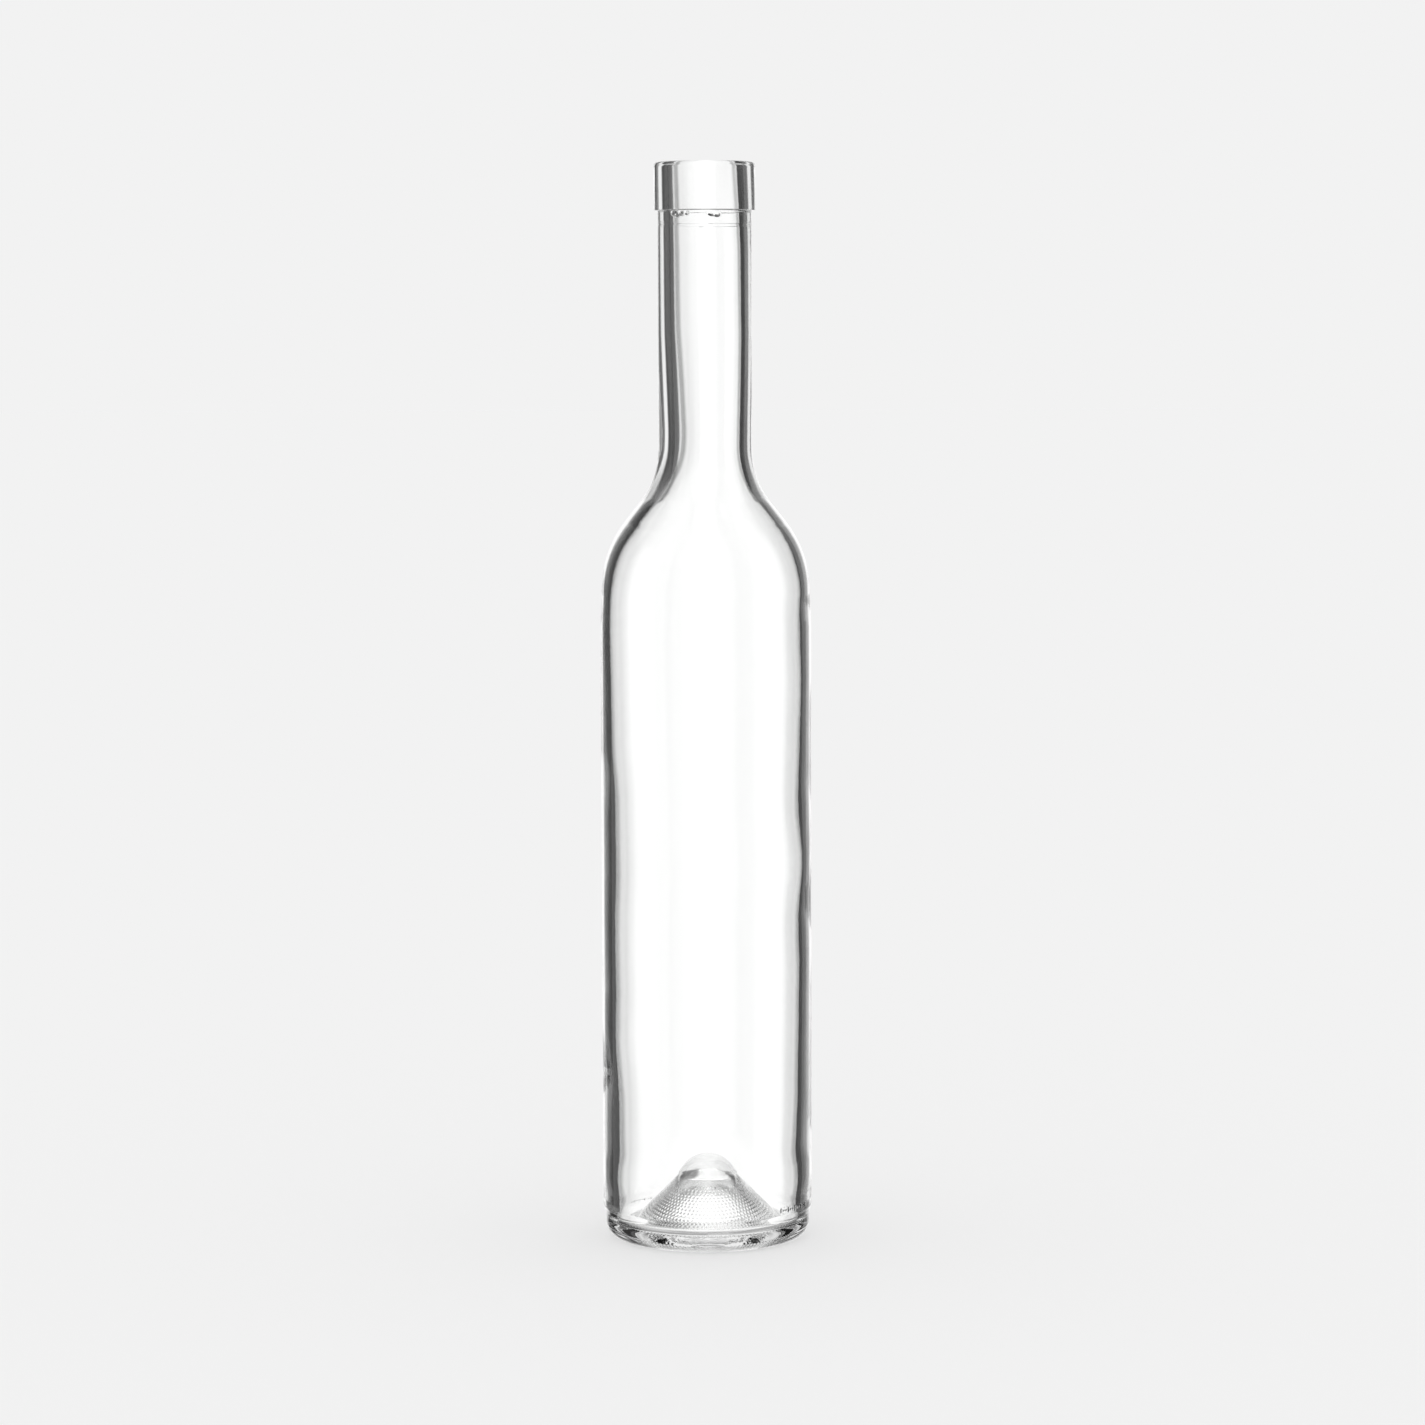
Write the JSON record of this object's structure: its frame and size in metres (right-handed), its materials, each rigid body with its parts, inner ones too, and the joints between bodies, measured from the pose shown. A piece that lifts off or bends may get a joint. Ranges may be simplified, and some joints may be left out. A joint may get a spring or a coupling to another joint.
{
  "type": "glass bottle",
  "caption": "Slim clear glass bottle for wine or spirits, open and empty, with a long neck, a plain cork-finish band and a punted base.",
  "frame": {"origin": "on the bottle's axis, at the level of the narrow ring that it stands on", "axes": "+Z along the bottle's axis, up to the mouth; +X and +Y are any two square directions, as the bottle is round"},
  "size_m": [0.0622, 0.0622, 0.318],
  "materials": {
    "glass": "clear flint glass, fire-polished outside, with faint mould seams, a slightly uneven inner wall and a stippled foot"
  },
  "bodies": {
    "root": {"bottle": "glass"}
  },
  "joints": []
}
